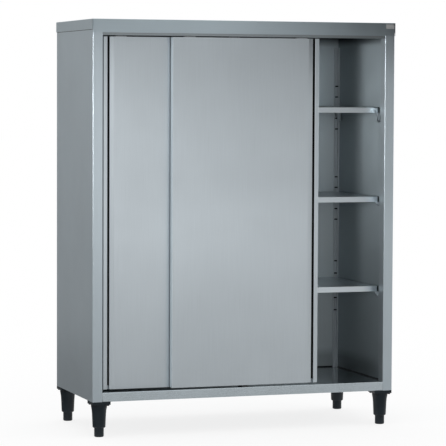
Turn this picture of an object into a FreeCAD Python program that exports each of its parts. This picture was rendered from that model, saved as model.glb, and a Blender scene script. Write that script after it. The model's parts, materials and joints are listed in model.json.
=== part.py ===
import FreeCAD, Part
import math
import os

# Stainless steel cupboard with two sliding doors, three shelves and four levelling feet.
# Millimetres. X runs along the width, the front faces -Y, Z is up.
# The origin is on the floor, under the middle of the cupboard.

V = FreeCAD.Vector

# How far a cutting shape runs past a face, and how near two places count as the same
cut_past = 1.0
same_place = 0.001

# Overall size
overall_width = 1400.0
overall_depth = 600.0
overall_height = 1800.0
underside_height = 155.0

# Sheets and folds
carcass_sheet = 1.2
door_sheet = 1.0
shelf_sheet = 1.2
rail_sheet = 2.0
bend_radius = 1.5

# Lid
lid_overhang = 2.0
fascia_front = 58.0
fascia_side = 45.0
fascia_seam = 2.0

# Side walls, each an outer panel with a front pillar and an inner lining
pillar_width = 45.0
jamb_depth = 50.0
side_wall = 31.0
rear_fold = 20.0

# Bottom deck
rail_height = 40.0
deck_return = 15.0
hat_width = 60.0
hat_height = 18.0
hat_foot = 15.0

# Foot plates inside the four bottom corners
foot_plate_thickness = 3.0

# Sliding doors
door_overlap = 56.0
door_thickness = 28.0
door_recess = 10.0
door_pitch = 36.0
door_above_deck = 8.0
door_below_rail = 5.0
door_end_gap = 2.0
left_door_short_of_closed = 13.0
right_door_open_by = 309.5
door_rear_hem = 12.0
inner_skin_fold = 7.5
top_channel_fold = 18.0

# Finger pull folded into the closing edge of each door
pull_lip = 19.0
pull_groove = 9.0
pull_bevel = 21.0
pull_bevel_drop = 4.0
pull_depth = 17.0

# Double rail above the doors
rail_bearer_height = 25.8
rail_tall = 42.0
rail_slot = 10.0

# Hangers and rollers
hanger_inset = 80.0
hanger_length = 50.0
hanger_plate = 4.0
hanger_foot_width = 22.0
hanger_foot_thickness = 3.0
hanger_neck = 22.0
neck_above_axle = 8.0
neck_corner = 8.0
roller_radius = 12.0
roller_width = 7.5
roller_chamfer = 0.8
roller_side_gap = 0.6
roller_seat_gap = 0.2
axle_radius = 3.0
axle_clearance = 0.05
axle_head_radius = 5.0
axle_head = 2.0
buffer_gap = 0.5
buffer_length = 30.0
buffer_side_gap = 0.3
buffer_nose_radius = 3.0
bolt_shank_radius = 2.5
bolt_head_radius = 4.5
bolt_head = 1.4
bolt_grip = 9.0
bolt_spacing = 40.0

# Floor guide
guide_length = 24.0
guide_base = 5.0
guide_tongue_width = 5.0
guide_tongue_top_gap = 3.0
guide_slot_clearance = 1.0
guide_channel_depth = 16.0
guide_screw_radius = 2.0
guide_screw_head_radius = 3.6
guide_screw_head = 2.0
guide_screw_length = 12.0
guide_screw_spacing = 12.0

# Shelves, from the lowest to the highest
lower_shelf_above_deck = 425.0
middle_shelf_above_lower = 404.0
upper_shelf_below_rail = 306.0
shelf_edge = 25.0
shelf_front_setback = 86.0
shelf_rear_gap = 6.0
shelf_end_gap = 4.0
shelf_return = 12.0
shelf_notch_gap = 2.0

# Slotted uprights in the inner corners
upright_leg = 20.0
upright_short_leg = 12.0
upright_depth = 6.0
upright_below_rail = 31.0
slot_reach = 17.0
slot_short_reach = 9.0
slot_tall = 6.0
slots_per_group = 5
group_below_shelf = (38.5, 30.0, 6.0)
group_pitches = (58.0, 50.0, 50.0)
hook_slots = (2, 2, 1)

# Shelf brackets
bracket_sheet = 2.0
bracket_corner_gap = 8.0
bracket_length = 50.0
bracket_ledge_start = 28.0
bracket_reach = 20.0
bracket_below_hook = 9.0
hook_depth = 2.4
hook_tall = 5.0
hook_end_gap = 1.0

# Legs and levelling feet
leg_flange = 82.0
leg_flange_thickness = 13.0
flange_chamfer = 2.0
leg_collar_radius = 35.0
leg_collar_height = 9.0
leg_shoulder_radius = 32.0
leg_waist_radius = 30.5
leg_waist_drop = 42.0
leg_end_radius = 28.0
leg_end_height = 40.0
leg_end_chamfer = 3.0
insert_radius = 21.0
insert_clearance = 0.05
insert_length = 95.0
leg_bore_top = 130.0
insert_foot_bevel = 3.0
insert_ring_height = 18.0
insert_ring_groove = 1.0
insert_groove_tall = 2.0
flange_screw_inset = 10.0
flange_screw_radius = 4.0
flange_screw_head_radius = 6.5
flange_screw_head = 5.0
flange_screw_grip = 6.0

# Places that follow from the sizes above
side_x = overall_width / 2 - lid_overhang
front_y = -overall_depth / 2 + lid_overhang
rear_y = overall_depth / 2 - lid_overhang
lid_under = overall_height - carcass_sheet
deck_top = underside_height + rail_height
jamb_x = side_x - pillar_width
jamb_rear_y = front_y + jamb_depth
lining_x = side_x - side_wall
back_inner_y = rear_y - 2 * carcass_sheet
rail_bottom = lid_under - rail_bearer_height - rail_tall
door_top = rail_bottom - door_below_rail
door_bottom = deck_top + door_above_deck
lower_shelf_top = deck_top + lower_shelf_above_deck
middle_shelf_top = lower_shelf_top + middle_shelf_above_lower
upper_shelf_top = rail_bottom - upper_shelf_below_rail
shelf_tops = (lower_shelf_top, middle_shelf_top, upper_shelf_top)
upright_top = rail_bottom - upright_below_rail
foot_plate_bottom = underside_height + carcass_sheet
foot_plate_top = foot_plate_bottom + foot_plate_thickness
lid_bend = lid_overhang - carcass_sheet
front_door_y = front_y + door_recess
front_door_mid = front_door_y + door_thickness / 2
rear_door_mid = front_door_mid + door_pitch
closed_end_x = jamb_x - door_end_gap
door_width = closed_end_x + door_overlap / 2
left_door_x = -closed_end_x + left_door_short_of_closed
right_door_x = closed_end_x - right_door_open_by - door_width
roller_z = rail_bottom + rail_sheet + roller_radius + roller_seat_gap
leg_axis_x = side_x - leg_flange / 2
leg_axis_y = front_y + leg_flange / 2


def path_edges(points, radii):
    """Edges along an open line of points, with an arc of the given radius at each inner point."""
    edges = []
    start = points[0]
    for i in range(1, len(points) - 1):
        before = (points[i - 1] - points[i]).normalize()
        after = (points[i + 1] - points[i]).normalize()
        half = before.getAngle(after) / 2
        reach = radii[i] / math.tan(half)
        first = points[i] + before * reach
        last = points[i] + after * reach
        middle = points[i] + (before + after).normalize() * (radii[i] / math.sin(half) - radii[i])
        edges.append(Part.LineSegment(start, first).toShape())
        edges.append(Part.Arc(first, middle, last).toShape())
        start = last
    edges.append(Part.LineSegment(start, points[-1]).toShape())
    return edges


def strip_face(flat_points, thickness, inside_radius):
    """Face of a folded strip in the XY plane. Its thickness lies on the left of the line."""
    points = [V(x, y, 0) for x, y in flat_points]
    count = len(points)
    headings = [(points[i + 1] - points[i]).normalize() for i in range(count - 1)]
    lefts = [V(-h.y, h.x, 0) for h in headings]
    offset = [points[0] + lefts[0] * thickness]
    line_radii = [0.0] * count
    offset_radii = [0.0] * count
    for i in range(1, count - 1):
        turn = headings[i - 1].cross(headings[i]).z
        spread = (lefts[i - 1] + lefts[i]).normalize()
        offset.append(points[i] + spread * (thickness / spread.dot(lefts[i])))
        line_radii[i] = inside_radius + (thickness if turn > 0 else 0.0)
        offset_radii[i] = inside_radius + (0.0 if turn > 0 else thickness)
    offset.append(points[-1] + lefts[-1] * thickness)
    edges = path_edges(points, line_radii)
    edges.append(Part.LineSegment(points[-1], offset[-1]).toShape())
    edges += path_edges(offset[::-1], offset_radii[::-1])
    edges.append(Part.LineSegment(offset[0], points[0]).toShape())
    return Part.Face(Part.Wire(Part.__sortEdges__(edges)))


def upright_fold(points, thickness, low, high):
    """Folded strip drawn in plan (x, y) and standing from low to high."""
    face = strip_face(points, thickness, bend_radius)
    face.translate(V(0, 0, low))
    return face.extrude(V(0, 0, high - low))


def lengthwise_fold(points, thickness, x_low, x_high):
    """Folded strip drawn in side view (y, z) and running from x_low to x_high."""
    face = strip_face(points, thickness, bend_radius)
    face.Placement = FreeCAD.Placement(V(x_low, 0, 0), FreeCAD.Rotation(V(0, 1, 0), V(0, 0, 1), V(1, 0, 0)))
    return face.extrude(V(x_high - x_low, 0, 0))


def box(x_low, x_high, y_low, y_high, z_low, z_high):
    return Part.makeBox(x_high - x_low, y_high - y_low, z_high - z_low, V(x_low, y_low, z_low))


def rod(radius, start, direction, length):
    return Part.makeCylinder(radius, length, start, direction)


def mirrored(shape, normal):
    return shape.mirror(V(0, 0, 0), normal)


def save(shape, node):
    shape = shape.removeSplitter() if len(shape.Solids) == 1 else shape
    if not shape.isValid():
        print("not valid:", node)
    shape.exportStep("parts/" + node + ".step")


def group(shapes):
    return Part.makeCompound(shapes)


# Lid


def top_panel():
    """Tray turned upside down, with a deep front fascia that ends in a seam at each corner."""
    half_x = overall_width / 2
    half_y = overall_depth / 2
    outer = box(-half_x, half_x, -half_y, half_y, overall_height - fascia_front, overall_height)
    outer = outer.makeFillet(lid_bend + carcass_sheet, horizontal_edges(outer, overall_height))
    inner_x = half_x - carcass_sheet
    inner_y = half_y - carcass_sheet
    inner = box(-inner_x, inner_x, -inner_y, inner_y, overall_height - fascia_front - cut_past, lid_under)
    inner = inner.makeFillet(lid_bend, horizontal_edges(inner, lid_under))
    tray = outer.cut(inner)
    shorter = box(-half_x - cut_past, half_x + cut_past, -half_y + carcass_sheet, half_y + cut_past,
                  overall_height - fascia_front - cut_past, overall_height - fascia_side)
    tray = tray.cut(shorter)
    for side in (-1, 1):
        seam_x = side * (half_x - carcass_sheet - fascia_seam / 2)
        seam = box(seam_x - fascia_seam / 2, seam_x + fascia_seam / 2, -half_y - cut_past,
                   -half_y + carcass_sheet, overall_height - fascia_front - cut_past, lid_under - lid_bend)
        tray = tray.cut(seam)
    return tray


def horizontal_edges(shape, height):
    return [e for e in shape.Edges if all(abs(v.Z - height) < same_place for v in e.Vertexes)]


def upright_edges(shape):
    return [e for e in shape.Edges if abs(e.Vertexes[0].Z - e.Vertexes[-1].Z) > same_place]


def hat_stiffener(length, y_mid, plate_under):
    """Hat channel under a plate, with its two feet against the plate."""
    outline = [
        (y_mid - hat_width / 2 - hat_foot, plate_under),
        (y_mid - hat_width / 2, plate_under),
        (y_mid - hat_width / 2, plate_under - hat_height),
        (y_mid + hat_width / 2, plate_under - hat_height),
        (y_mid + hat_width / 2, plate_under),
        (y_mid + hat_width / 2 + hat_foot, plate_under),
    ]
    flipped = [(-y, z) for y, z in outline]
    hat = lengthwise_fold(flipped, carcass_sheet, -length / 2, length / 2)
    return mirrored(hat, V(0, 1, 0))


# Side walls


def left_side_panel():
    """Outer panel, folded at the rear, and at the front into the pillar, the jamb and a short hem."""
    outline = [
        (-side_x + rear_fold, rear_y),
        (-side_x, rear_y),
        (-side_x, front_y),
        (-jamb_x, front_y),
        (-jamb_x, jamb_rear_y),
        (-lining_x - carcass_sheet, jamb_rear_y),
    ]
    panel = upright_fold(outline, carcass_sheet, underside_height, lid_under)
    inner_foot = box(-side_x + carcass_sheet, 0, front_y + carcass_sheet, rear_y - carcass_sheet,
                     underside_height - cut_past, foot_plate_top)
    return panel.cut(inner_foot)


def left_lining():
    return box(-lining_x - carcass_sheet, -lining_x, jamb_rear_y, back_inner_y, deck_top, lid_under)


def back_panel():
    half = side_x - carcass_sheet - bend_radius
    return box(-half, half, back_inner_y, rear_y - carcass_sheet, underside_height, lid_under)


# Bottom


def bottom_deck():
    """Floor plate folded down into the front rail and a rear flange, notched round the pillars."""
    outline = [
        (front_y + deck_return, underside_height),
        (front_y, underside_height),
        (front_y, deck_top),
        (back_inner_y, deck_top),
        (back_inner_y, underside_height),
        (back_inner_y - deck_return, underside_height),
    ]
    flipped = [(-y, z) for y, z in outline]
    half = side_x - carcass_sheet
    deck = mirrored(lengthwise_fold(flipped, carcass_sheet, -half, half), V(0, 1, 0))
    for side in (-1, 1):
        low, high = sorted((side * jamb_x, side * (side_x + cut_past)))
        deck = deck.cut(box(low, high, front_y - cut_past, jamb_rear_y, underside_height - cut_past,
                            deck_top + cut_past))
    deck = deck.cut(flange_screw_shanks())
    return deck.cut(guide_screws())


def foot_plates():
    """One welded plate in each bottom corner, which takes the screws of a leg."""
    x_low = -side_x + carcass_sheet + bend_radius
    x_high = -side_x + leg_flange
    front_low = front_y + carcass_sheet + bend_radius
    front_high = front_y + leg_flange
    rear_high = back_inner_y - carcass_sheet - bend_radius
    rear_low = rear_y - leg_flange
    plates = []
    for low, high in ((front_low, front_high), (rear_low, rear_high)):
        plate = box(x_low, x_high, low, high, foot_plate_bottom, foot_plate_top)
        plate = plate.cut(flange_screw_shanks())
        plates += [plate, mirrored(plate, V(1, 0, 0))]
    return group(plates)


# Legs and levelling feet


def flange_screw_places():
    reach = leg_flange / 2 - flange_screw_inset
    return [(-leg_axis_x + sx * reach, leg_axis_y + sy * reach) for sx in (-1, 1) for sy in (-1, 1)]


def flange_screw_shanks():
    """The shanks of all sixteen flange screws, which are also the holes that they pass through."""
    low = underside_height - leg_flange_thickness
    length = foot_plate_top - low + flange_screw_grip
    left = [rod(flange_screw_radius, V(x, sy * y, low), V(0, 0, 1), length)
            for x, y in flange_screw_places() for sy in (1, -1)]
    return left + [mirrored(shank, V(1, 0, 0)) for shank in left]


def front_left_leg():
    """Moulded leg: square flange, collar, tapering shank and a bore for the levelling foot."""
    flange_bottom = underside_height - leg_flange_thickness
    collar_bottom = flange_bottom - leg_collar_height
    waist_z = flange_bottom - leg_waist_drop
    shank_end = leg_end_height + leg_end_chamfer
    shoulder_z = (collar_bottom + waist_z) / 2
    bore = insert_radius + insert_clearance
    profile = [
        V(bore, 0, leg_end_height),
        V(leg_end_radius - leg_end_chamfer, 0, leg_end_height),
        V(leg_end_radius, 0, shank_end),
        V(leg_waist_radius, 0, waist_z),
        V(leg_shoulder_radius, 0, shoulder_z),
        V(leg_collar_radius, 0, collar_bottom),
        V(leg_collar_radius, 0, flange_bottom),
        V(0, 0, flange_bottom),
        V(0, 0, leg_bore_top),
        V(bore, 0, leg_bore_top),
    ]
    shank = Part.Face(Part.makePolygon(profile + profile[:1])).revolve(V(0, 0, 0), V(0, 0, 1), 360)
    half = leg_flange / 2
    flange = box(-half, half, -half, half, flange_bottom, underside_height)
    flange = flange.makeChamfer(flange_chamfer, upright_edges(flange))
    leg = shank.fuse(flange)
    leg.translate(V(-leg_axis_x, leg_axis_y, 0))
    return leg.cut(flange_screw_shanks()).removeSplitter()


def front_left_foot():
    """Levelling foot: a plain insert that slides in the leg, with a grip groove and a bevelled toe."""
    groove_radius = insert_radius - insert_ring_groove
    groove_top = insert_ring_height + insert_groove_tall
    profile = [
        V(0, 0, 0),
        V(insert_radius - insert_foot_bevel, 0, 0),
        V(insert_radius, 0, insert_foot_bevel),
        V(insert_radius, 0, insert_ring_height),
        V(groove_radius, 0, insert_ring_height),
        V(groove_radius, 0, groove_top),
        V(insert_radius, 0, groove_top),
        V(insert_radius, 0, insert_length),
        V(0, 0, insert_length),
    ]
    body = Part.Face(Part.makePolygon(profile + profile[:1])).revolve(V(0, 0, 0), V(0, 0, 1), 360)
    body.translate(V(-leg_axis_x, leg_axis_y, 0))
    return body


def leg_screws():
    """Four hexagon head screws up through each leg flange and its foot plate."""
    head_bottom = underside_height - leg_flange_thickness - flange_screw_head
    turns = [math.radians(60 * i) for i in range(7)]
    reach = flange_screw_head_radius
    hexagon = [V(reach * math.cos(a), reach * math.sin(a), head_bottom) for a in turns]
    head = Part.Face(Part.makePolygon(hexagon)).extrude(V(0, 0, flange_screw_head))
    screws = []
    for shank in flange_screw_shanks():
        centre = shank.CenterOfMass
        placed = head.copy()
        placed.translate(V(centre.x, centre.y, 0))
        screws.append(placed.fuse(shank).removeSplitter())
    return group(screws)


# Rail over the doors


def door_rail():
    """Two C channels side by side, open below, folded from one sheet with a shared middle wall."""
    inner_half = door_pitch / 2
    front = front_door_mid - inner_half
    rear = rear_door_mid + inner_half
    top = rail_bottom + rail_tall
    rail = box(-jamb_x, jamb_x, front, rear, rail_bottom, top)
    edges = [e for e in rail.Edges if abs(e.Vertexes[0].X - e.Vertexes[1].X) > same_place]
    rail = rail.makeFillet(bend_radius, edges)
    beyond = jamb_x + cut_past
    lip_top = rail_bottom + rail_sheet
    hollow_half = inner_half - rail_sheet
    slot_half = rail_slot / 2
    for mid in (front_door_mid, rear_door_mid):
        hollow = box(-beyond, beyond, mid - hollow_half, mid + hollow_half, lip_top, top - rail_sheet)
        slot = box(-beyond, beyond, mid - slot_half, mid + slot_half, rail_bottom - cut_past,
                   lip_top + cut_past)
        rail = rail.cut([hollow, slot])
    return rail


def rail_bearer():
    """Channel that hangs the rail from the lid."""
    front = front_door_mid - door_pitch / 2 + rail_sheet
    rear = rear_door_mid + door_pitch / 2 - rail_sheet
    low = rail_bottom + rail_tall
    outline = [
        (rear - hat_foot, lid_under),
        (rear, lid_under),
        (rear, low),
        (front, low),
        (front, lid_under),
        (front + hat_foot, lid_under),
    ]
    flipped = [(-y, z) for y, z in outline]
    return mirrored(lengthwise_fold(flipped, carcass_sheet, -jamb_x, jamb_x), V(0, 1, 0))


def rail_buffers():
    """Rubber block near each end of both channels, which stops the first roller it meets."""
    wide = door_pitch / 2 - rail_sheet - buffer_side_gap
    low = rail_bottom + rail_sheet
    high = rail_bottom + rail_tall - rail_sheet
    stop_x = closed_end_x - hanger_inset + roller_radius + buffer_gap
    blocks = []
    for mid in (front_door_mid, rear_door_mid):
        block = box(stop_x, stop_x + buffer_length, mid - wide, mid + wide, low, high)
        nose = [e for e in block.Edges if all(abs(v.X - stop_x) < same_place for v in e.Vertexes)]
        block = block.makeFillet(buffer_nose_radius, nose)
        blocks += [block, mirrored(block, V(1, 0, 0))]
    return group(blocks)


# Doors, drawn for the right door in the front channel with its left end at x = 0


def door_outer_skin():
    """Face sheet with both ends turned back and the finger pull folded into the right end.

    The floor guide passes under the pull, so the folds there are notched along its lane.
    """
    front = front_door_y
    rear = front_door_y + door_thickness
    lip_x = door_width - pull_lip
    groove_x = lip_x - pull_groove
    outline = [
        (door_rear_hem, rear),
        (0.0, rear),
        (0.0, front),
        (groove_x - pull_bevel, front),
        (groove_x, front + pull_bevel_drop),
        (groove_x, front + pull_depth),
        (lip_x, front + pull_depth),
        (lip_x, front),
        (door_width, front),
        (door_width, rear),
        (door_width - door_rear_hem, rear),
    ]
    skin = upright_fold(outline, door_sheet, door_bottom, door_top)
    half_slot = guide_tongue_width / 2 + guide_slot_clearance
    lane = box(groove_x - pull_bevel, door_width - 2 * door_sheet, front_door_mid - half_slot,
               front_door_mid + half_slot, door_bottom - cut_past, door_bottom + guide_channel_depth)
    return skin.cut(lane)


def door_inner_skin():
    """Rear sheet, a shallow pan that lies inside the turned ends of the face sheet."""
    rear = front_door_y + door_thickness - door_sheet
    lip = door_sheet
    outline = [
        (lip, rear - inner_skin_fold),
        (lip, rear),
        (door_width - lip, rear),
        (door_width - lip, rear - inner_skin_fold),
    ]
    return upright_fold(outline[::-1], door_sheet, door_bottom, door_top)


def door_inside_y():
    return front_door_y + door_sheet, front_door_y + door_thickness - 2 * door_sheet


def door_frame_ends():
    left = 2 * door_sheet + bend_radius
    right = door_width - pull_lip - pull_groove - pull_bevel - door_sheet
    return left, right


def hanger_bolt_shanks():
    """Shanks of the four hanger bolts, which are also the holes in the top channel and the hangers."""
    low = door_top - bolt_grip
    length = bolt_grip + hanger_foot_thickness
    places = [x + side * bolt_spacing / 2 for x in hanger_places() for side in (-1, 1)]
    return [rod(bolt_shank_radius, V(x, front_door_mid, low), V(0, 0, 1), length) for x in places]


def door_top_channel():
    """Channel with its web up, closing the top of the door between face and rear sheet."""
    front, rear = door_inside_y()
    left, right = door_frame_ends()
    outline = [
        (-front, door_top - top_channel_fold),
        (-front, door_top),
        (-rear, door_top),
        (-rear, door_top - top_channel_fold),
    ]
    channel = mirrored(lengthwise_fold(outline, door_sheet, left, right), V(0, 1, 0))
    return channel.cut(hanger_bolt_shanks())


def door_bottom_channel():
    """Closing strip along the bottom of the door, folded up in the middle into the guide slot."""
    front, rear = door_inside_y()
    left, right = door_frame_ends()
    half_slot = guide_tongue_width / 2 + guide_slot_clearance
    mid = front_door_mid
    crest = door_bottom + guide_channel_depth
    outline = [
        (-front, door_bottom),
        (-(mid - half_slot - door_sheet), door_bottom),
        (-(mid - half_slot - door_sheet), crest),
        (-(mid + half_slot + door_sheet), crest),
        (-(mid + half_slot + door_sheet), door_bottom),
        (-rear, door_bottom),
    ]
    return mirrored(lengthwise_fold(outline[::-1], door_sheet, left, right), V(0, 1, 0))


def hanger_places():
    return hanger_inset, door_width - hanger_inset


def door_hangers():
    """Two brackets on top of the door, each with a neck that reaches up through the rail slot."""
    hangers = []
    mid = front_door_mid
    foot_top = door_top + hanger_foot_thickness
    for x in hanger_places():
        foot = box(x - hanger_length / 2, x + hanger_length / 2, mid - hanger_foot_width / 2,
                   mid + hanger_foot_width / 2, door_top, foot_top)
        neck_top = roller_z + axle_radius + neck_above_axle
        neck = box(x - hanger_neck / 2, x + hanger_neck / 2, mid - hanger_plate / 2, mid + hanger_plate / 2,
                   door_top, neck_top)
        corners = [e for e in neck.Edges if all(abs(v.Z - neck_top) < same_place for v in e.Vertexes)
                   and abs(e.Vertexes[0].Y - e.Vertexes[1].Y) > same_place]
        neck = neck.makeFillet(neck_corner, corners)
        hanger = foot.fuse(neck).removeSplitter()
        axis_start = V(x, mid - hanger_plate, roller_z)
        hanger = hanger.cut(rod(axle_radius + axle_clearance, axis_start, V(0, 1, 0), 2 * hanger_plate))
        hangers.append(hanger.cut(hanger_bolt_shanks()))
    return group(hangers)


def door_hanger_bolts():
    """Two bolts through the foot of each hanger into the top channel."""
    bolts = []
    for shank in hanger_bolt_shanks():
        seat = V(shank.CenterOfMass.x, front_door_mid, door_top + hanger_foot_thickness)
        head = Part.makeCone(bolt_head_radius, bolt_shank_radius, bolt_head, seat)
        bolts.append(head.fuse(shank).removeSplitter())
    return group(bolts)


def roller_pair(x):
    """Two nylon wheels with bevelled rims, one on each side of a hanger."""
    mid = front_door_mid
    start = hanger_plate / 2 + roller_side_gap
    wheels = []
    for side in (-1, 1):
        wheel = rod(roller_radius, V(x, mid + side * start, roller_z), V(0, side, 0), roller_width)
        rims = [e for e in wheel.Edges if e.Curve.TypeId == "Part::GeomCircle"]
        wheel = wheel.makeChamfer(roller_chamfer, rims)
        wheel = wheel.cut(rod(axle_radius, V(x, mid + side * start, roller_z), V(0, side, 0), roller_width))
        wheels.append(wheel)
    return group(wheels)


def roller_axle(x):
    """Axle with a flat head outside each wheel."""
    mid = front_door_mid
    half = hanger_plate / 2 + roller_side_gap + roller_width
    shaft = rod(axle_radius, V(x, mid - half, roller_z), V(0, 1, 0), 2 * half)
    for side in (-1, 1):
        seat = V(x, mid + side * half, roller_z)
        shaft = shaft.fuse(rod(axle_head_radius, seat, V(0, side, 0), axle_head))
    return shaft.removeSplitter()


def place_right(shape):
    placed = shape.copy()
    placed.translate(V(right_door_x, 0, 0))
    return placed


def place_left(shape):
    """The left door is the right one turned over left to right, in the rear channel."""
    placed = mirrored(shape, V(1, 0, 0))
    placed.translate(V(left_door_x + door_width, door_pitch, 0))
    return placed


# Floor guide


def floor_guide():
    """Nylon block on the deck with one tongue for each door."""
    front = front_door_mid - door_pitch / 2
    rear = rear_door_mid + door_pitch / 2
    base = box(-guide_length / 2, guide_length / 2, front, rear, deck_top, deck_top + guide_base)
    tongue_top = door_bottom + guide_channel_depth - guide_tongue_top_gap
    guide = base
    half_length = guide_length / 2
    half_tongue = guide_tongue_width / 2
    for mid in (front_door_mid, rear_door_mid):
        tongue = box(-half_length, half_length, mid - half_tongue, mid + half_tongue, deck_top, tongue_top)
        ends = [e for e in tongue.Edges if all(abs(v.Z - tongue_top) < same_place for v in e.Vertexes)
                and abs(e.Vertexes[0].Y - e.Vertexes[1].Y) > same_place]
        guide = guide.fuse(tongue.makeFillet(bend_radius, ends))
    return guide.removeSplitter().cut(guide_screws())


def guide_screw(x):
    """Countersunk screw through the base of the guide and the deck, midway between the doors."""
    y = (front_door_mid + rear_door_mid) / 2
    head_top = deck_top + guide_base
    head_bottom = head_top - guide_screw_head
    shank_length = guide_screw_length - guide_screw_head
    head = Part.makeCone(guide_screw_radius, guide_screw_head_radius, guide_screw_head, V(x, y, head_bottom))
    shank = rod(guide_screw_radius, V(x, y, head_top - guide_screw_length), V(0, 0, 1), shank_length)
    return head.fuse(shank).removeSplitter()


def guide_screws():
    return group([guide_screw(side * guide_screw_spacing / 2) for side in (-1, 1)])


# Shelves, uprights and brackets


def shelf(top):
    """Shelf plate with folded edges on all four sides, notched round the rear uprights."""
    half = shelf_half_length()
    front, rear = shelf_depth_range()
    edge_bottom = top - shelf_edge
    outer = box(-half, half, front, rear, edge_bottom, top)
    outer = outer.makeFillet(bend_radius + shelf_sheet, horizontal_edges(outer, top))
    inner = box(-half + shelf_sheet, half - shelf_sheet, front + shelf_sheet, rear - shelf_sheet,
                edge_bottom + shelf_sheet, top - shelf_sheet)
    inner = inner.makeFillet(bend_radius, horizontal_edges(inner, top - shelf_sheet))
    mouth = box(-half + shelf_return, half - shelf_return, front + shelf_return, rear - shelf_return,
                edge_bottom - cut_past, edge_bottom + shelf_sheet + cut_past)
    plate = outer.cut(inner).cut(mouth)
    notch_x = lining_x - upright_leg - shelf_notch_gap
    notch_y = back_inner_y - upright_leg - shelf_notch_gap
    for side in (-1, 1):
        low, high = sorted((side * notch_x, side * (half + cut_past)))
        plate = plate.cut(box(low, high, notch_y, rear + cut_past, edge_bottom - cut_past, top + cut_past))
    return plate


def shelf_half_length():
    return lining_x - shelf_end_gap


def shelf_depth_range():
    return front_y + shelf_front_setback, back_inner_y - shelf_rear_gap


def shelf_stiffener(top):
    """Hat channel under the shelf plate, between the folded ends."""
    front, rear = shelf_depth_range()
    length = 2 * (shelf_half_length() - shelf_sheet - bend_radius)
    return hat_stiffener(length, (front + rear) / 2, top - shelf_sheet)


def slot_heights(row):
    centre = shelf_tops[row] - group_below_shelf[row]
    middle = (slots_per_group - 1) / 2
    return [centre + (i - middle) * group_pitches[row] for i in range(slots_per_group)]


def left_upright(cross_leg, cross_reach):
    """Post folded round a left corner at y = 0, with five slots across its inner bend at each shelf.

    One leg stands on the lining and the other one, of the given width, on the sheet across the corner.
    """
    outline = [
        (-lining_x + cross_leg, 0),
        (-lining_x + cross_leg, upright_depth),
        (-lining_x + upright_depth, upright_depth),
        (-lining_x + upright_depth, upright_leg),
        (-lining_x, upright_leg),
    ]
    post = upright_fold(outline, carcass_sheet, deck_top, upright_top)
    behind = upright_depth - 2 * carcass_sheet
    slots = []
    for row in range(len(shelf_tops)):
        for z in slot_heights(row):
            slots.append(box(-lining_x + behind, -lining_x + cross_reach, behind, slot_reach,
                             z - slot_tall / 2, z + slot_tall / 2))
    return post.cut(slots)


def left_bracket(row):
    """Bracket for a left corner at y = 0: a side plate hooked in a slot, a ledge and a gusset below it."""
    face_x = -lining_x + upright_depth
    ledge_z = shelf_tops[row] - shelf_edge
    hook_z = slot_heights(row)[hook_slots[row]] - slot_tall / 2
    foot_z = hook_z - bracket_below_hook
    outline = [
        (face_x, foot_z),
        (face_x, ledge_z),
        (face_x + bracket_reach, ledge_z),
    ]
    face = strip_face(outline[::-1], bracket_sheet, bend_radius)
    turn = FreeCAD.Rotation(V(1, 0, 0), V(0, 0, 1), V(0, -1, 0))
    face.Placement = FreeCAD.Placement(V(0, bracket_length, 0), turn)
    bracket = face.extrude(V(0, bracket_corner_gap - bracket_length, 0))
    ledge_relief = box(face_x + bracket_sheet, face_x + bracket_reach + cut_past, 0, bracket_ledge_start,
                       foot_z, ledge_z + cut_past)
    plate_x = face_x + bracket_sheet / 2
    tip_x = face_x + bracket_reach - bracket_sheet
    under_ledge = ledge_z - bracket_sheet / 2
    corners = [V(plate_x, 0, foot_z), V(plate_x, 0, under_ledge), V(tip_x, 0, under_ledge)]
    gusset = Part.Face(Part.makePolygon(corners + corners[:1])).extrude(V(0, bracket_sheet, 0))
    gusset.translate(V(0, bracket_ledge_start, 0))
    hook = box(face_x - carcass_sheet - hook_depth, plate_x, bracket_corner_gap, slot_reach - hook_end_gap,
               hook_z, hook_z + hook_tall)
    return bracket.cut(ledge_relief).fuse([gusset, hook]).removeSplitter()


def front_corner(shape):
    placed = shape.copy()
    placed.translate(V(0, jamb_rear_y, 0))
    return placed


def rear_corner(shape):
    placed = mirrored(shape, V(0, 1, 0))
    placed.translate(V(0, back_inner_y, 0))
    return placed


def shelf_brackets(row):
    left = [front_corner(left_bracket(row)), rear_corner(left_bracket(row))]
    return group(left + [mirrored(b, V(1, 0, 0)) for b in left])


def build_carcass():
    save(top_panel(), "top_panel")
    save(hat_stiffener(2 * lining_x, (jamb_rear_y + rear_y) / 2, lid_under), "top_stiffener")
    save(left_side_panel(), "left_side_panel")
    save(mirrored(left_side_panel(), V(1, 0, 0)), "right_side_panel")
    save(left_lining(), "left_side_lining")
    save(mirrored(left_lining(), V(1, 0, 0)), "right_side_lining")
    save(back_panel(), "back_panel")
    save(bottom_deck(), "bottom_deck")
    deck_under = deck_top - carcass_sheet
    save(hat_stiffener(2 * (side_x - leg_flange), (front_y + rear_y) / 2, deck_under), "deck_stiffener")
    save(foot_plates(), "foot_plates")


def build_legs():
    leg = front_left_leg()
    foot = front_left_foot()
    corners = {
        "front_left": lambda s: s,
        "front_right": lambda s: mirrored(s, V(1, 0, 0)),
        "rear_left": lambda s: mirrored(s, V(0, 1, 0)),
        "rear_right": lambda s: mirrored(mirrored(s, V(1, 0, 0)), V(0, 1, 0)),
    }
    for corner, placed in corners.items():
        save(placed(leg), corner + "_leg")
        save(placed(foot), corner + "_levelling_foot")
    save(leg_screws(), "leg_screws")


def build_rail():
    save(door_rail(), "door_rail")
    save(rail_bearer(), "rail_bearer")
    save(rail_buffers(), "rail_buffers")
    save(floor_guide(), "floor_guide")
    save(guide_screws(), "guide_screws")


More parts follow.
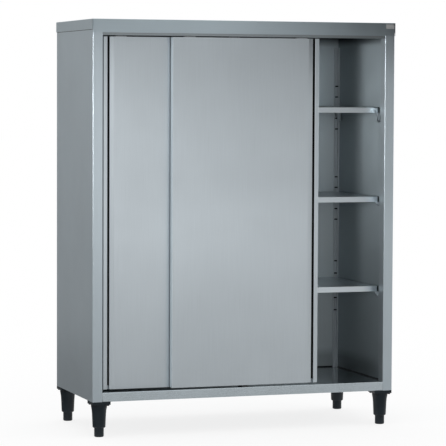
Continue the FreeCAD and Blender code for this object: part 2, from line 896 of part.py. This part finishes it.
def build_doors():
    pieces = {
        "outer_skin": door_outer_skin(),
        "inner_skin": door_inner_skin(),
        "top_channel": door_top_channel(),
        "bottom_channel": door_bottom_channel(),
        "hangers": door_hangers(),
        "hanger_bolts": door_hanger_bolts(),
    }
    meeting_x, closing_x = hanger_places()
    for end, x in (("meeting", meeting_x), ("closing", closing_x)):
        pieces[end + "_rollers"] = roller_pair(x)
        pieces[end + "_axle"] = roller_axle(x)
    for name, shape in pieces.items():
        save(place_left(shape), "left_door_" + name)
        save(place_right(shape), "right_door_" + name)


def build_shelves():
    uprights = {
        "front": front_corner(left_upright(upright_short_leg, slot_short_reach)),
        "rear": rear_corner(left_upright(upright_leg, slot_reach)),
    }
    for place, upright in uprights.items():
        save(upright, place + "_left_upright")
        save(mirrored(upright, V(1, 0, 0)), place + "_right_upright")
    for row, name in enumerate(("lower", "middle", "upper")):
        save(shelf(shelf_tops[row]), name + "_shelf")
        save(shelf_stiffener(shelf_tops[row]), name + "_shelf_stiffener")
        save(shelf_brackets(row), name + "_shelf_brackets")


os.makedirs("parts", exist_ok=True)
build_carcass()
build_legs()
build_rail()
build_doors()
build_shelves()
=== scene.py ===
import json
import math

import bmesh
import bpy
from mathutils import Matrix, Vector


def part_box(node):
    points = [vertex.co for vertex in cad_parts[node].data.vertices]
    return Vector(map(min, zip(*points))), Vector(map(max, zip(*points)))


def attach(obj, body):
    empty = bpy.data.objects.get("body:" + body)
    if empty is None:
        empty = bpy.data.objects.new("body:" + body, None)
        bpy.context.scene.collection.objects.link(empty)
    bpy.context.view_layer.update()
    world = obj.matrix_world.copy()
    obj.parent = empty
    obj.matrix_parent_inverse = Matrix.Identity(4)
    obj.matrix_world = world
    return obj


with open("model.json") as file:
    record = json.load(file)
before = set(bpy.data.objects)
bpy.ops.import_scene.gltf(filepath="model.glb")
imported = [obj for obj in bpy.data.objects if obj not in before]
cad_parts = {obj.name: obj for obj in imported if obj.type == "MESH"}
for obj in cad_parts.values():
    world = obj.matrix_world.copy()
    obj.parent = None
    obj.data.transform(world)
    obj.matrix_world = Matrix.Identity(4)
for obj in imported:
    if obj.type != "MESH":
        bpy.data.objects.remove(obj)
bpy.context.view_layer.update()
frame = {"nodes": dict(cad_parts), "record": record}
nodes = frame["nodes"]

# Lengths are in metres, angles in degrees, the lens and the sensor in millimetres.
# X runs to the right side of the cupboard as seen from the front, and Y to its back.

# Camera, from a fit to the edges in the photograph
CAMERA_PLACE = Vector((-3.36464, -9.72758, 1.48807))
CAMERA_YAW = 19.053
CAMERA_PITCH = 3.262
CAMERA_ROLL = 0.250
CAMERA_LENS = 184.88
SENSOR = 36.0
CLIP_NEAR = 0.1
CLIP_FAR = 500.0

# Bare plate on the front fascia, measured from the right end and the top of the lid
PLATE_FROM_END = 0.0050
PLATE_WIDTH = 0.0395
PLATE_FROM_TOP = 0.0065
PLATE_HEIGHT = 0.0200
PLATE_PROUD = 0.0002
PLATE_SUNK = 0.0001
PLATE_BEVEL = 0.0004

# Black liner in the groove of each finger pull, as painted shade of the groove
PULL_LIP = 0.0190
PULL_GROOVE = 0.0090
PULL_DEPTH = 0.0170
LINER_WALL = 0.0008
LINER_GAP = 0.0001
LINER_CORNER = 0.0016
LINER_LIP_START = 0.0027
LINER_BEVEL_START = 0.0067
LINER_ABOVE_BOTTOM = 0.0165

# Black beads that paint the shadow lines along the deck and under the side lips of the lid, with the outline
# of a bead of size 1
BEAD_OUTLINE = ((0.0, 0.0), (1.0, 0.0), (0.5, 0.2), (0.2, 0.5), (0.0, 1.0))
DECK_BEAD = 0.0045
LID_BEAD = 0.0018
LID_BEAD_SHORT = 0.0010
LID_SIDE_DROP = 0.0451

# Where the steel's colour is painted with shade or a highlight, and its finish changes: on folds, at bends
# and edges, and in the shade inside
SHEET = 0.0012
DOOR_BEND = 0.0025
DECK_FOLD = 0.0020
SHELF_TIP = 0.0045
LID_SHADE_START = 0.0970
LID_SHADE_FULL = 0.0520
DECK_SHADE_FULL = 0.0550
DECK_SHADE_END = 0.0970
DECK_SHADE_SHARE = 0.37
FRONT_SHADE_SHARE = 0.15
FRONT_SHADE_PLACE = -0.25
REAR_SHADE_PLACE = 0.15

# Grain of brushed steel: fine lines, slow clouds and smears of handling
EVEN = (1.0, 1.0, 1.0)
UPRIGHT_GRAIN = (0.01, 0.02, 1.0)
LENGTH_GRAIN = (1.0, 0.01, 0.02)
ALONG_GRAIN = 6.0
ACROSS_GRAIN = 900.0
CLOUD_SCALE = 2.2
SMEAR_SCALE = 11.0
TINT_RANGE = (0.97, 1.03)
LINE_ROUGHNESS = (-0.02, 0.03)
SMEAR_ROUGHNESS = (-0.015, 0.03)
LINE_BUMP = 0.06
LINE_DEPTH = 0.0004
PLAIN_ANISOTROPY = 0.45
DOOR_ANISOTROPY = 0.35
FOIL_ANISOTROPY = 0.2
SATIN_ANISOTROPY = 0.9
NOISE_LOW = 0.3
NOISE_HIGH = 0.7

# Skin of moulded plastic and rubber
PORE_SCALE = 600.0
SCUFF_SCALE = 35.0
SCUFF_TINT = (0.85, 1.25)
SCUFF_ROUGHNESS = (-0.06, 0.08)
PLASTIC_SPECULAR = 0.3
PORE_BUMP = 0.15
PORE_DEPTH = 0.0003

# Stage
WHITE = (1.0, 1.0, 1.0)
FLOOR_HALF = 60.0
FLOOR_BOUNCE = 0.42
SHADOW_SHARE = 0.2
CARD_EDGES = (-0.5, 0.5)
LEFT_POWER = 5.3
FRONT_POWER = 2.1

lid_low, lid_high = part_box("top_panel")
side_low, side_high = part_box("right_side_panel")
back_low, back_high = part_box("back_panel")
deck_low, deck_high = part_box("bottom_deck")
rear_post_low, rear_post_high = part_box("rear_right_upright")
front_post_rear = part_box("front_right_upright")[1].y
lining_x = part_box("right_side_lining")[0].x
shelf_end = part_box("upper_shelf")[1].x


# Node helpers


def new_material(name):
    material = bpy.data.materials.new(name)
    material.use_nodes = True
    tree = material.node_tree
    return material, tree, tree.nodes["Principled BSDF"]


def link(tree, source, target):
    tree.links.new(source, target)


def object_noise(tree, stretch, scale, detail):
    """Noise fixed to the piece, drawn out along the axes where stretch is small."""
    place = tree.nodes.new("ShaderNodeTexCoord")
    mapping = tree.nodes.new("ShaderNodeMapping")
    mapping.inputs["Scale"].default_value = stretch
    noise = tree.nodes.new("ShaderNodeTexNoise")
    noise.inputs["Scale"].default_value = scale
    noise.inputs["Detail"].default_value = detail
    link(tree, place.outputs["Object"], mapping.inputs["Vector"])
    link(tree, mapping.outputs["Vector"], noise.inputs["Vector"])
    return noise.outputs["Fac"]


def spread(tree, value, low, high, from_low=NOISE_LOW, from_high=NOISE_HIGH):
    """The value, brought from its own range to low..high."""
    node = tree.nodes.new("ShaderNodeMapRange")
    node.inputs["From Min"].default_value = from_low
    node.inputs["From Max"].default_value = from_high
    node.inputs["To Min"].default_value = low
    node.inputs["To Max"].default_value = high
    link(tree, value, node.inputs["Value"])
    return node.outputs["Result"]


def blend(tree, share, start, end):
    """From the start to the end by a share between 0 and 1."""
    return spread(tree, share, start, end, 0.0, 1.0)


def combine(tree, operation, first, second):
    node = tree.nodes.new("ShaderNodeMath")
    node.operation = operation
    for i, value in enumerate((first, second)):
        if isinstance(value, float):
            node.inputs[i].default_value = value
        else:
            link(tree, value, node.inputs[i])
    return node.outputs["Value"]


def shade(tree, colour, factor):
    """The colour, made lighter and darker by the factor."""
    node = tree.nodes.new("ShaderNodeVectorMath")
    node.operation = "SCALE"
    node.inputs[0].default_value = colour
    link(tree, factor, node.inputs["Scale"])
    return node.outputs["Vector"]


def across_grain(tree, grain):
    """Direction in the surface that is square to the grain."""
    surface = tree.nodes.new("ShaderNodeNewGeometry")
    cross = tree.nodes.new("ShaderNodeVectorMath")
    cross.operation = "CROSS_PRODUCT"
    link(tree, surface.outputs["Normal"], cross.inputs[0])
    cross.inputs[1].default_value = grain
    return cross.outputs["Vector"]


def object_axes(tree):
    """The coordinates of a point on the piece: to the right, to the back and up."""
    place = tree.nodes.new("ShaderNodeTexCoord")
    axes = tree.nodes.new("ShaderNodeSeparateXYZ")
    link(tree, place.outputs["Object"], axes.inputs["Vector"])
    return axes.outputs["X"], axes.outputs["Y"], axes.outputs["Z"]


def distance_aside(tree, middle=0.0):
    """How far a point lies to either side of the middle."""
    across = object_axes(tree)[0]
    return combine(tree, "ABSOLUTE", combine(tree, "SUBTRACT", across, middle), 0.0)


def on_jamb(tree):
    """1 on the faces of a side panel that look into the opening, where painted shade darkens the colour."""
    return combine(tree, "LESS_THAN", distance_aside(tree), side_low.x + SHEET)


def on_door_bends(tree):
    """1 on the rolled edges of the right door, where a highlight is painted on the colour."""
    low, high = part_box("right_door_outer_skin")
    aside = distance_aside(tree, (low.x + high.x) / 2)
    return combine(tree, "GREATER_THAN", aside, (high.x - low.x) / 2 - DOOR_BEND)


def on_deck(tree):
    """1 on the deck behind its front fold, where painted shade darkens the colour and the finish is smoother.
    """
    return combine(tree, "GREATER_THAN", object_axes(tree)[1], deck_low.y + DECK_FOLD)


def on_shelf_end(tree):
    """1 on the outermost strip at each end of a shelf, where the shade of the corner is painted."""
    return combine(tree, "GREATER_THAN", distance_aside(tree), shelf_end - SHELF_TIP)


def out_of_light(tree):
    """1 where shade is painted: on the inner faces behind the slotted uprights, and less of it up under the
    lid and close over the deck, where it fades towards the front."""
    deep, high = object_axes(tree)[1:]
    rear = combine(tree, "GREATER_THAN", deep, rear_post_low.y)
    front = combine(tree, "LESS_THAN", deep, front_post_rear)
    outer = combine(tree, "GREATER_THAN", distance_aside(tree), rear_post_low.x)
    corner = combine(tree, "MULTIPLY", combine(tree, "MAXIMUM", rear, front), outer)
    behind = combine(tree, "MULTIPLY", corner, combine(tree, "LESS_THAN", high, rear_post_high.z))
    under_lid = spread(tree, high, 0.0, 1.0, lid_high.z - LID_SHADE_START, lid_high.z - LID_SHADE_FULL)
    over_deck = spread(
        tree, high, DECK_SHADE_SHARE, 0.0, deck_high.z + DECK_SHADE_FULL, deck_high.z + DECK_SHADE_END)
    inward = spread(tree, deep, FRONT_SHADE_SHARE, 1.0, FRONT_SHADE_PLACE, REAR_SHADE_PLACE)
    dim = combine(tree, "MULTIPLY", combine(tree, "MAXIMUM", under_lid, over_deck), inward)
    shaded = combine(tree, "MAXIMUM", behind, dim)
    inner_face = combine(tree, "LESS_THAN", deep, (back_low.y + back_high.y) / 2)
    return combine(tree, "MULTIPLY", shaded, inner_face)


def bump(tree, shader, height, strength, distance):
    node = tree.nodes.new("ShaderNodeBump")
    node.inputs["Strength"].default_value = strength
    node.inputs["Distance"].default_value = distance
    link(tree, height, node.inputs["Height"])
    link(tree, node.outputs["Normal"], shader.inputs["Normal"])


# Materials


def brushed_steel(name, colour, roughness, grain, anisotropy, area=None, change=None):
    """Stainless steel brushed along one axis, with slow clouds of handling wear.

    The area function gives 1 where the change holds: a factor on the colour, which paints shade or a
    highlight there, a roughness and an anisotropy.
    """
    material, tree, shader = new_material(name)
    stretch = tuple(ALONG_GRAIN if share == max(grain) else ACROSS_GRAIN for share in grain)
    lines = object_noise(tree, stretch, scale=1.0, detail=4.0)
    clouds = object_noise(tree, EVEN, CLOUD_SCALE, detail=2.0)
    smears = object_noise(tree, EVEN, SMEAR_SCALE, detail=5.0)
    tint_and_painted_light = combine(tree, "MULTIPLY", spread(tree, lines, *TINT_RANGE), spread(tree, clouds, *TINT_RANGE))
    worn = combine(
        tree, "ADD", spread(tree, lines, *LINE_ROUGHNESS), spread(tree, smears, *SMEAR_ROUGHNESS))
    shader.inputs["Metallic"].default_value = 1.0
    shader.inputs["Anisotropic"].default_value = anisotropy
    if area:
        there = area(tree)
        factor, other_roughness, other_anisotropy = change
        tint_and_painted_light = combine(tree, "MULTIPLY", tint_and_painted_light, blend(tree, there, 1.0, factor))
        roughness = blend(tree, there, roughness, other_roughness)
        link(tree, blend(tree, there, anisotropy, other_anisotropy), shader.inputs["Anisotropic"])
    link(tree, shade(tree, colour, tint_and_painted_light), shader.inputs["Base Color"])
    link(tree, combine(tree, "ADD", worn, roughness), shader.inputs["Roughness"])
    link(tree, across_grain(tree, grain), shader.inputs["Tangent"])
    bump(tree, shader, lines, LINE_BUMP, LINE_DEPTH)
    return material


def moulded(name, colour, roughness):
    """Moulded plastic or rubber with a fine grain and scuffs."""
    material, tree, shader = new_material(name)
    pores = object_noise(tree, EVEN, PORE_SCALE, detail=2.0)
    scuffs = object_noise(tree, EVEN, SCUFF_SCALE, detail=4.0)
    link(tree, shade(tree, colour, spread(tree, scuffs, *SCUFF_TINT)), shader.inputs["Base Color"])
    uneven = spread(tree, scuffs, *SCUFF_ROUGHNESS)
    link(tree, combine(tree, "ADD", uneven, roughness), shader.inputs["Roughness"])
    shader.inputs["Specular IOR Level"].default_value = PLASTIC_SPECULAR
    bump(tree, shader, pores, PORE_BUMP, PORE_DEPTH)
    return material


DOOR_COLOUR = (0.61, 0.67, 0.71)
LEG_COLOUR = (0.005, 0.011, 0.016)

# What differs in an area: a factor on the colour, which paints shade or a highlight there, the roughness and
# the anisotropy
# Jamb faces: painted shade on the colour, with a rougher satin finish
JAMB_SHADE_AND_SATIN = (0.7, 0.42, SATIN_ANISOTROPY)
# Rolled edges of the right door: painted highlight on the colour, with a satin finish
BEND_HIGHLIGHT_AND_SATIN = (1.35, 0.42, SATIN_ANISOTROPY)
# Inner faces behind the uprights, under the lid, over the deck and at the shelf ends: painted shade
SHADE_CHANGE = (0.05, 0.5, 0.0)
# Deck behind its fold: painted shade on the colour, with a smoother finish
DECK_SHADE_AND_POLISH = (0.36, 0.15, 0.3)

# Steel: colour, roughness, grain, anisotropy and, where one part of it differs, the area and the change
STEELS = {
    "side_steel": ((0.528, 0.601, 0.646), 0.34, UPRIGHT_GRAIN, PLAIN_ANISOTROPY, on_jamb, JAMB_SHADE_AND_SATIN),
    "back_steel": ((0.54, 0.61, 0.645), 0.42, UPRIGHT_GRAIN, SATIN_ANISOTROPY, out_of_light, SHADE_CHANGE),
    # Linings: darker than the back panel, as painted shade of the interior
    "inner_steel": (
        (0.385, 0.447, 0.478), 0.42, UPRIGHT_GRAIN, SATIN_ANISOTROPY, out_of_light, SHADE_CHANGE),
    "shelf_steel": ((0.70, 0.77, 0.81), 0.30, LENGTH_GRAIN, PLAIN_ANISOTROPY, on_shelf_end, SHADE_CHANGE),
    "deck_steel": ((0.58, 0.65, 0.69), 0.26, LENGTH_GRAIN, PLAIN_ANISOTROPY, on_deck, DECK_SHADE_AND_POLISH),
    # The right door's outer skin carries a painted highlight on its rolled edges.
    "right_door_steel_and_highlight": (DOOR_COLOUR, 0.32, UPRIGHT_GRAIN, DOOR_ANISOTROPY, on_door_bends, BEND_HIGHLIGHT_AND_SATIN),
    "door_steel": (DOOR_COLOUR, 0.32, UPRIGHT_GRAIN, DOOR_ANISOTROPY),
    "lid_steel": ((0.505, 0.587, 0.632), 0.30, LENGTH_GRAIN, PLAIN_ANISOTROPY),
    # Door rail: darker than the other steel, partly its own duller metal and partly painted shade under the
    # fascia
    "rail_steel": ((0.36, 0.40, 0.42), 0.35, LENGTH_GRAIN, PLAIN_ANISOTROPY),
    "rack_steel": ((0.50, 0.55, 0.58), 0.34, UPRIGHT_GRAIN, PLAIN_ANISOTROPY),
    "folded_steel": ((0.45, 0.47, 0.49), 0.40, LENGTH_GRAIN, PLAIN_ANISOTROPY),
    "fastener_steel": ((0.5, 0.5, 0.5), 0.35, UPRIGHT_GRAIN, PLAIN_ANISOTROPY),
    "black_steel": ((0.03, 0.03, 0.032), 0.4, UPRIGHT_GRAIN, PLAIN_ANISOTROPY),
    "plate_foil": ((0.75, 0.76, 0.76), 0.45, LENGTH_GRAIN, FOIL_ANISOTROPY),
}

# Plastic and rubber: colour and roughness
PLASTICS = {
    "leg_plastic": (LEG_COLOUR, 0.45),
    "foot_plastic": (LEG_COLOUR, 0.45),
    "guide_nylon": ((0.03, 0.03, 0.03), 0.45),
    "roller_nylon": ((0.60, 0.60, 0.57), 0.40),
    "buffer_rubber": ((0.02, 0.02, 0.02), 0.65),
    # Near black, for the liners that paint the shade in the finger pulls
    "pull_shade_black": ((0.006, 0.006, 0.007), 0.6),
    # Near black, for the beads that paint the shadow lines along the joints
    "shadow_bead": ((0.012, 0.013, 0.015), 0.5),
}

# Nodes with a finish of their own. Every other node has the finish that its slot names.
OWN_FINISH = {
    "top_panel": "lid_steel",
    "back_panel": "back_steel",
    "bottom_deck": "deck_steel",
    "left_side_panel": "side_steel",
    "right_side_panel": "side_steel",
    "door_rail": "rail_steel",
    "rail_bearer": "rail_steel",
    "leg_screws": "black_steel",
    "right_door_outer_skin": "right_door_steel_and_highlight",
}

finishes = {name: brushed_steel(name, *values) for name, values in STEELS.items()}
finishes.update({name: moulded(name, *values) for name, values in PLASTICS.items()})
slot_of = {part["node"]: part["material_slot"] for part in frame["record"]["subparts"]}
for node, shape in nodes.items():
    shape.data.materials.clear()
    shape.data.materials.append(finishes[OWN_FINISH.get(node, slot_of[node])])


# Pieces that are only looks


def add_object(name, data):
    piece = bpy.data.objects.new(name, data)
    bpy.context.scene.collection.objects.link(piece)
    return piece


def bar(name, outline, place, span, finish, body):
    """Straight piece of one section. The place function turns (across, up, along) into a point."""
    count = len(outline)
    mesh = bmesh.new()
    rings = [[mesh.verts.new(place(u, v, along)) for u, v in outline] for along in span]
    mesh.faces.new(rings[0])
    mesh.faces.new(rings[1][::-1])
    for i in range(count):
        j = (i + 1) % count
        mesh.faces.new((rings[0][i], rings[1][i], rings[1][j], rings[0][j]))
    bmesh.ops.recalc_face_normals(mesh, faces=mesh.faces)
    data = bpy.data.meshes.new(name)
    mesh.to_mesh(data)
    mesh.free()
    data.materials.append(finishes[finish])
    piece = add_object(name, data)
    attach(piece, body)


def pull_groove_shade(door, inward):
    """Black liner in the groove of a finger pull, as painted shade of the groove. It stops above the lane of
    the floor guide.

    Inward is 1 or -1, the way from the door's closing end to its middle.
    """
    low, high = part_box(door + "_outer_skin")
    start = (low.x if inward > 0.0 else high.x) + inward * PULL_LIP
    half_turn = LINER_WALL + LINER_CORNER
    wide, deep = PULL_GROOVE - LINER_GAP, PULL_DEPTH - LINER_GAP
    outline = (
        (LINER_GAP, LINER_LIP_START),
        (LINER_GAP, deep - LINER_CORNER),
        (LINER_GAP + LINER_CORNER, deep),
        (wide - LINER_CORNER, deep),
        (wide, deep - LINER_CORNER),
        (wide, LINER_BEVEL_START),
        (wide - LINER_WALL, LINER_BEVEL_START),
        (wide - LINER_WALL, deep - half_turn),
        (wide - half_turn, deep - LINER_WALL),
        (half_turn, deep - LINER_WALL),
        (LINER_WALL, deep - half_turn),
        (LINER_WALL, LINER_LIP_START),
    )
    span = (low.z + LINER_ABOVE_BOTTOM, high.z - LINER_GAP)
    bar(
        door + "_pull_groove_shade", outline, lambda u, v, z: (start + inward * u, low.y + v, z), span,
        "pull_shade_black", door)


def shadow_bead(name, place, span, size):
    """Black bead with a hollow face in the corner between two sheets, painting the shadow line of the joint.
    """
    outline = [(size * u, size * v) for u, v in BEAD_OUTLINE]
    bar(name, outline, place, span, "shadow_bead", "carcass")


def deck_and_lid_shadow_beads():
    """Beads of painted shadow along the back and both sides of the deck, and under both side lips of the lid.
    """
    shadow_bead(
        "deck_shadow_bead_rear", lambda u, v, x: (x, back_low.y - u, deck_high.z + v),
        (-rear_post_low.x, rear_post_low.x), DECK_BEAD)
    lid_span = side_high.y - LID_BEAD_SHORT
    lip_bottom = lid_high.z - LID_SIDE_DROP
    for side, name in ((-1.0, "left"), (1.0, "right")):
        shadow_bead(
            "deck_shadow_bead_" + name, lambda u, v, y: (side * (lining_x - u), y, deck_high.z + v),
            (front_post_rear, rear_post_low.y), DECK_BEAD)
        shadow_bead(
            "lid_shadow_bead_" + name, lambda u, v, y: (side * (side_high.x + u), y, lip_bottom - v),
            (-lid_span, lid_span), LID_BEAD)


def fascia_plate():
    """Bare plate with bevelled rims on the right end of the fascia."""
    right = lid_high.x - PLATE_FROM_END
    left = right - PLATE_WIDTH
    top = lid_high.z - PLATE_FROM_TOP
    face, rear = lid_low.y - PLATE_PROUD, lid_low.y + PLATE_SUNK
    outline = ((left, rear), (left + PLATE_BEVEL, face), (right - PLATE_BEVEL, face), (right, rear))
    bar(
        "fascia_plate", outline, lambda u, v, z: (u, v, z), (top - PLATE_HEIGHT, top),
        "plate_foil", "carcass")


pull_groove_shade("left_door", 1.0)
pull_groove_shade("right_door", -1.0)
deck_and_lid_shadow_beads()
fascia_plate()


# Stage: floor, cards that the steel mirrors, world and lamps

# Cards: left low corner, edge along, edge up, greys from left to right along the low edge and the high one.
# The two flags lie just over the floor, and the steel mirrors them in its place.
CARDS = {
    "card_over_left": ((-1.4, -1.0, 1.76), (1.5, 0.0, 0.0), (0.0, 0.0, 0.84), (0.15, 0.95), (0.15, 0.95)),
    "card_over_right": ((0.1, -1.0, 1.76), (0.85, 0.0, 0.0), (0.0, 0.0, 0.84), (0.95, 0.0), (0.75, 0.0)),
    "card_over_end": ((0.95, -1.0, 1.76), (0.7, 0.0, 0.0), (0.0, 0.0, 0.84), (0.0, 0.0), (0.0, 0.0)),
    "card_low_right": ((0.7, -1.0, 1.60), (0.9, 0.0, 0.0), (0.0, 0.0, 0.16), (0.50, 0.0), (0.40, 0.0)),
    "card_front": ((0.0, -3.2, 1.0), (3.0, 0.0, 0.0), (0.0, 0.0, 1.8), (1.00, 0.55), (0.25, 0.05)),
    "flag_floor_front": (
        (-30.0, -30.0, 0.003), (60.0, 0.0, 0.0), (0.0, 29.65, 0.0), (0.45, 0.45), (0.45, 0.45)),
    "card_left_rear": ((-5.0, 1.4, 0.0), (4.1, 2.2, 0.0), (0.0, 0.0, 4.0), (0.50, 0.55), (0.58, 0.70)),
    "flag_floor_rear": (
        (-30.0, -0.35, 0.003), (29.25, 0.0, 0.0), (0.0, 30.0, 0.0), (0.25, 0.25), (0.25, 0.25)),
}


def matte_material(name):
    material, tree, shader = new_material(name)
    shader.inputs["Roughness"].default_value = 1.0
    shader.inputs["Specular IOR Level"].default_value = 0.0
    return material, tree, shader


def floor_material():
    """White floor under a faint shadow. Light that it throws back on the cupboard is greyer."""
    material, tree, shader = matte_material("floor")
    path = tree.nodes.new("ShaderNodeLightPath")
    glossy, through = path.outputs["Is Glossy Ray"], path.outputs["Is Transmission Ray"]
    mirrored = combine(tree, "MAXIMUM", glossy, through)
    seen = combine(tree, "MAXIMUM", path.outputs["Is Camera Ray"], mirrored)
    grey = blend(tree, seen, FLOOR_BOUNCE, 1.0)
    link(tree, shade(tree, WHITE, grey), shader.inputs["Base Color"])
    glow = tree.nodes.new("ShaderNodeEmission")
    glow.inputs["Strength"].default_value = 1.0
    mix = tree.nodes.new("ShaderNodeMixShader")
    link(tree, combine(tree, "MULTIPLY", seen, 1.0 - SHADOW_SHARE), mix.inputs["Fac"])
    link(tree, shader.outputs["BSDF"], mix.inputs[1])
    link(tree, glow.outputs["Emission"], mix.inputs[2])
    link(tree, mix.outputs["Shader"], tree.nodes["Material Output"].inputs["Surface"])
    return material


def card_material(name, low_greys, high_greys):
    """Matte grey that grades from left to right along the low edge and along the high one."""
    material, tree, shader = matte_material(name)
    across, upward, _ = object_axes(tree)
    low = spread(tree, across, *low_greys, *CARD_EDGES)
    high = spread(tree, across, *high_greys, *CARD_EDGES)
    height = spread(tree, upward, 0.0, 1.0, *CARD_EDGES)
    rise = combine(tree, "MULTIPLY", combine(tree, "SUBTRACT", high, low), height)
    link(tree, shade(tree, WHITE, combine(tree, "ADD", low, rise)), shader.inputs["Base Color"])
    return material


def card(name, corner, along, up, low_greys, high_greys):
    """A grey card beside the set. Only the steel sees it."""
    corner, along, up = Vector(corner), Vector(along), Vector(up)
    right, upward = along.normalized(), up.normalized()
    turn = Matrix((right, upward, right.cross(upward))).transposed()
    bpy.ops.mesh.primitive_plane_add(size=1.0)
    piece = bpy.context.object
    piece.name = name
    size = Matrix.Diagonal((along.length, up.length, 1.0, 1.0))
    piece.matrix_world = Matrix.Translation(corner + (along + up) / 2) @ turn.to_4x4() @ size
    piece.data.materials.append(card_material(name, low_greys, high_greys))
    piece.visible_camera = False
    piece.visible_diffuse = False
    piece.visible_shadow = False


def lamp(name, place, target, width, height, power, beam):
    """Soft box with a grid, so that its light stays within a beam of the given angle."""
    light = bpy.data.lights.new(name, "AREA")
    light.shape = "RECTANGLE"
    light.size = width
    light.size_y = height
    light.energy = power
    light.spread = math.radians(beam)
    holder = add_object(name, light)
    holder.location = place
    holder.rotation_mode = "QUATERNION"
    holder.rotation_quaternion = (Vector(target) - Vector(place)).to_track_quat("-Z", "Y")
    holder.visible_camera = False
    return holder


def lights_only(holder, names):
    """Keep the lamp off everything but these nodes, as barn doors on it would."""
    lit = bpy.data.collections.new(holder.name + "_lit")
    for name in names:
        lit.objects.link(nodes[name])
    holder.light_linking.receiver_collection = lit


bpy.ops.mesh.primitive_plane_add(size=2 * FLOOR_HALF, location=(0.0, 0.0, 0.0))
floor = bpy.context.object
floor.name = "floor"
floor.data.materials.append(floor_material())

for name, values in CARDS.items():
    card(name, *values)

world = bpy.data.worlds.new("studio")
bpy.context.scene.world = world
world.use_nodes = True
background = world.node_tree.nodes["Background"]
background.inputs["Color"].default_value = (*WHITE, 1.0)
background.inputs["Strength"].default_value = 1.0

lamp_left = lamp(
    "lamp_left", place=(-3.72, -4.19, 1.52), target=(0.667, -0.1, 1.52),
    width=3.4, height=0.9, power=LEFT_POWER, beam=20.0)
# This lamp reaches into the opening. On the doors and the lid, its glare would be white from the front right.
reached = ("_side_panel", "_side_lining", "_upright", "back_panel")
lights_only(lamp_left, [name for name in nodes if name.endswith(reached)])
lamp(
    "lamp_front", place=(0.25, -3.0, 1.0), target=(0.0, -0.3, 1.0),
    width=2.0, height=1.0, power=FRONT_POWER, beam=180.0)


# Camera


def photo_camera():
    """Camera at the photographer's place. The roll turns it about its own view."""
    yaw = math.radians(CAMERA_YAW)
    pitch = math.radians(CAMERA_PITCH)
    roll = math.radians(CAMERA_ROLL)
    forward = Vector((math.sin(yaw) * math.cos(pitch), math.cos(yaw) * math.cos(pitch), -math.sin(pitch)))
    level = Vector((math.cos(yaw), -math.sin(yaw), 0.0))
    upward = level.cross(forward)
    right = level * math.cos(roll) + upward * math.sin(roll)
    up = upward * math.cos(roll) - level * math.sin(roll)
    turn = Matrix((right, up, -forward)).transposed()
    data = bpy.data.cameras.new("photo_camera")
    data.sensor_width = SENSOR
    data.lens = CAMERA_LENS
    data.clip_start = CLIP_NEAR
    data.clip_end = CLIP_FAR
    camera = add_object("photo_camera", data)
    camera.matrix_world = Matrix.Translation(CAMERA_PLACE) @ turn.to_4x4()
    return camera


scene = bpy.context.scene
scene.camera = photo_camera()
scene.view_settings.view_transform = "Standard"
